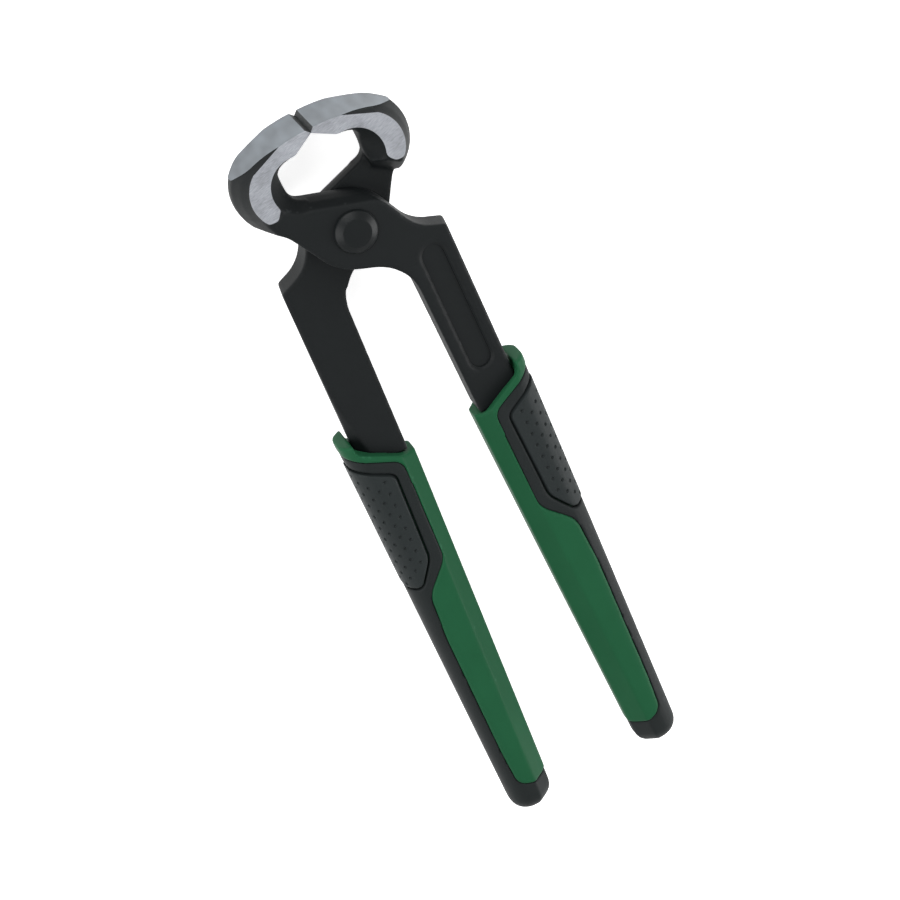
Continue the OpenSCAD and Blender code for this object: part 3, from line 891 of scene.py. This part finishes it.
def black_steel(material, tone, rough):
    """Black oxide on blasted steel, painted lighter on the outer edges as a highlight."""
    coords, shader = open_finish(material, metallic=0.0)
    shader.inputs["Specular IOR Level"].default_value = 0.14
    cloud = noise(coords, size=6.0)
    fine = noise(coords, size=0.35, detail=4.0)
    # Painted highlight: pointiness picks the outer edges, which get a lighter colour and a little less
    # roughness.
    edge_highlight = edges(coords) * (0.35 + 0.5 * cloud)
    plain = cloud.mix(shade(tone, 0.82), shade(tone, 1.18))
    connect(shader, Base_Color=edge_highlight.mix(plain, shade(edge_highlight_tone)),
            Roughness=rough + 0.14 * fine - 0.12 * edge_highlight,
            Normal=bumps(fine, strength=0.35, depth=0.06))


black_steel(bpy.data.materials["forged_black"], tone=(0.0042, 0.0055, 0.0059), rough=0.50)
black_steel(bpy.data.materials.new("rivet_black"), tone=(0.0050, 0.0064, 0.0068), rough=0.30)
rivet.data.materials.append(bpy.data.materials["rivet_black"])
print("black on", lever.name, "and", rivet.name)

# %% [markdown]
# ## Ground steel
# The cheeks are linished flat and the ends are ground on a wheel. Both are bare metal of one steel, told
# apart
# by the grain: short scratches across the cheeks, and fine long ones round the ends. The ends are also given
# a darker tone, which is painted shade. Noise stretched along one direction gives the scratches, and a broad
# one painted lighter and darker sweeps that stand in for reflected light.

# %% Bright cheeks and ends
def bright_steel(material, tone, grain, stretch, turn, contrast, reflection_sweep):
    """Bare ground steel with scratches along one direction and broad painted lighter and darker sweeps of
    reflected light.
    """
    coords, shader = open_finish(material, metallic=1.0)
    scratch = noise(coords, size=grain, stretch=stretch, turn=turn)
    cloud = noise(coords, size=3.6, detail=1.0, stretch=(1.0, 1.0, 3.0))
    # The broad cloud gives painted lighter and darker sweeps of reflected light.
    marks = (scratch - 0.5) * contrast + (cloud - 0.5) * reflection_sweep + 0.5
    connect(shader, Base_Color=marks.clipped(0.0, 1.0).mix(shade(tone, 0.66), shade(tone, 1.32)),
            Roughness=0.36 + 0.16 * scratch + 0.06 * cloud,
            Normal=bumps(scratch, strength=0.25 * contrast, depth=0.03))


bright_steel(bpy.data.materials["ground_cheek"], tone=(0.30, 0.312, 0.337), grain=0.13,
             stretch=(10.0, 1.0, 1.0), turn=(0, 0, 12), contrast=1.8, reflection_sweep=0.7)
# The end's tone is darker than the cheek's on the same steel: painted shade.
bright_steel(bpy.data.materials["ground_end"], tone=(0.118, 0.133, 0.147), grain=0.12,
             stretch=(14.0, 1.0, 1.0), turn=(0, 0, 0), contrast=0.7, reflection_sweep=1.7)
print("bright on the jaws of", lever.name)

# %% [markdown]
# ## Moulded plastics
# The sleeve is hard green plastic with a satin, slightly sparkling surface. The soft layer and the pad are
# rubbery and nearly matt, a dark grey that catches a dusty sheen. All three have the fine texture of their
# moulds, and their rounded edges and seam lips are painted lighter, as a highlight.

# %% Green sleeve, soft layer and pad
def moulded(name, tone, light, rough, texture, depth, gloss):
    """A moulded plastic with a spark-eroded texture, painted lighter on its rounded edges as a highlight."""
    material = bpy.data.materials.new(name)
    coords, shader = open_finish(material, metallic=0.0)
    shader.inputs["Specular IOR Level"].default_value = gloss
    cloud = noise(coords, size=9.0, detail=2.0)
    fine = noise(coords, size=texture, detail=4.0)
    # Painted highlight: pointiness picks the rounded edges and seam lips, which are mixed towards the light
    # tone.
    lip = edges(coords)
    plain = cloud.mix(shade(tone, 0.92), shade(tone, 1.08))
    connect(shader, Base_Color=(lip * 0.3).mix(plain, shade(light)),
            Roughness=rough + 0.12 * (fine - 0.5) - 0.06 * lip,
            Normal=bumps(fine, strength=0.3, depth=depth))
    return material


# Each light tone is the colour of that plastic's painted edge highlight.
green = moulded("green_plastic", tone=(0.0125, 0.0760, 0.0330), light=(0.044, 0.165, 0.090),
                rough=0.44, texture=0.30, depth=0.02, gloss=0.05)
soft = moulded("soft_layer", tone=(0.0095, 0.0120, 0.0122), light=(0.028, 0.032, 0.033),
               rough=0.60, texture=0.28, depth=0.04, gloss=0.12)
rubber = moulded("pad_rubber", tone=(0.0150, 0.0188, 0.0192), light=(0.036, 0.042, 0.043),
                 rough=0.54, texture=0.24, depth=0.04, gloss=0.12)
for part, material in (("grip_sleeve", green), ("grip_overmould", soft), ("grip_pad", rubber)):
    for piece in (half[part], other[part]):
        piece.data.materials.clear()
        piece.data.materials.append(material)
        print(material.name, "on", piece.name)

# %% [markdown]
# ## Floor, light and camera
# The tool lies on a pale floor under large soft lamps, and the camera stands where the photograph was taken
# from: above the head, a little to its left. The floor adds light of its own where the camera or a shiny
# surface sees it, which makes it white there and leaves a faint shadow.

# %% Floor and surroundings
def seen_directly(tree):
    """1 for rays that show the surroundings: from the camera, off a shiny surface or through a clear one."""
    rays = Wire(tree)
    kinds = ("Camera", "Glossy", "Transmission")
    return sum(rays.node("ShaderNodeLightPath", {}, {}, f"Is {kind} Ray") for kind in kinds)


put_down()
bpy.ops.mesh.primitive_plane_add(size=6)
floor = settle(bpy.context.object, "floor")
paper = bpy.data.materials.new("floor_paper")
paper.use_nodes = True
sheet = paper.node_tree.nodes["Principled BSDF"]
sheet.inputs["Base Color"].default_value = (0.88, 0.88, 0.88, 1)
sheet.inputs["Roughness"].default_value = 0.9
sheet.inputs["Specular IOR Level"].default_value = 0.1
sheet.inputs["Emission Color"].default_value = (1, 1, 1, 1)
connect(sheet, Emission_Strength=0.80 * seen_directly(paper.node_tree))
floor.data.materials.append(paper)

world = bpy.data.worlds.new("studio")
bpy.context.scene.world = world
world.use_nodes = True
sky = world.node_tree.nodes["Background"]
sky.inputs["Color"].default_value = (1, 1, 1, 1)
connect(sky, Strength=0.35 + 0.65 * seen_directly(world.node_tree))
print("floor and surroundings made:", floor.name, "and", world.name)

# %% Soft lamps
def softbox(name, place, aim, size, power):
    """A large square lamp turned towards a point."""
    lamp = bpy.data.lights.new(name, "AREA")
    lamp.shape = "SQUARE"
    lamp.size = size
    lamp.energy = power
    holder = bpy.data.objects.new(name, lamp)
    holder.location = place
    holder.rotation_euler = (Vector(aim) - Vector(place)).to_track_quat("-Z", "Y").to_euler()
    bpy.context.scene.collection.objects.link(holder)


softbox("left_softbox", place=(-0.75, 0.10, 0.50), aim=(0, 0, 0), size=0.7, power=6.5)
softbox("right_softbox", place=(0.74, -0.36, 0.38), aim=(0, 0, 0), size=0.6, power=7.2)
softbox("head_softbox", place=(0.0, 0.85, 0.55), aim=(0, 0.05, 0), size=0.7, power=6.5)

# %% Camera
across = Vector((0.88012, -0.37385, 0.29260))
upward = Vector((0.46180, 0.81711, -0.34506))
away = Vector((-0.11009, 0.43883, 0.89180))
facing = Matrix((across, upward, away)).transposed()
stand = at(-99.38, 327.16, 802.62)
lens = bpy.data.cameras.new("camera")
lens.lens = 143.15
lens.sensor_width = 36
camera = bpy.data.objects.new("camera", lens)
camera.matrix_world = Matrix.Translation(stand) @ facing.to_4x4()
bpy.context.scene.collection.objects.link(camera)
bpy.context.scene.camera = camera
bpy.context.scene.view_settings.view_transform = "Standard"
print("camera at", [round(c, 4) for c in camera.location])

# %% Show the CAD box
print("CAD box", [[round(c, 4) for c in corner] for corner in cad_box])
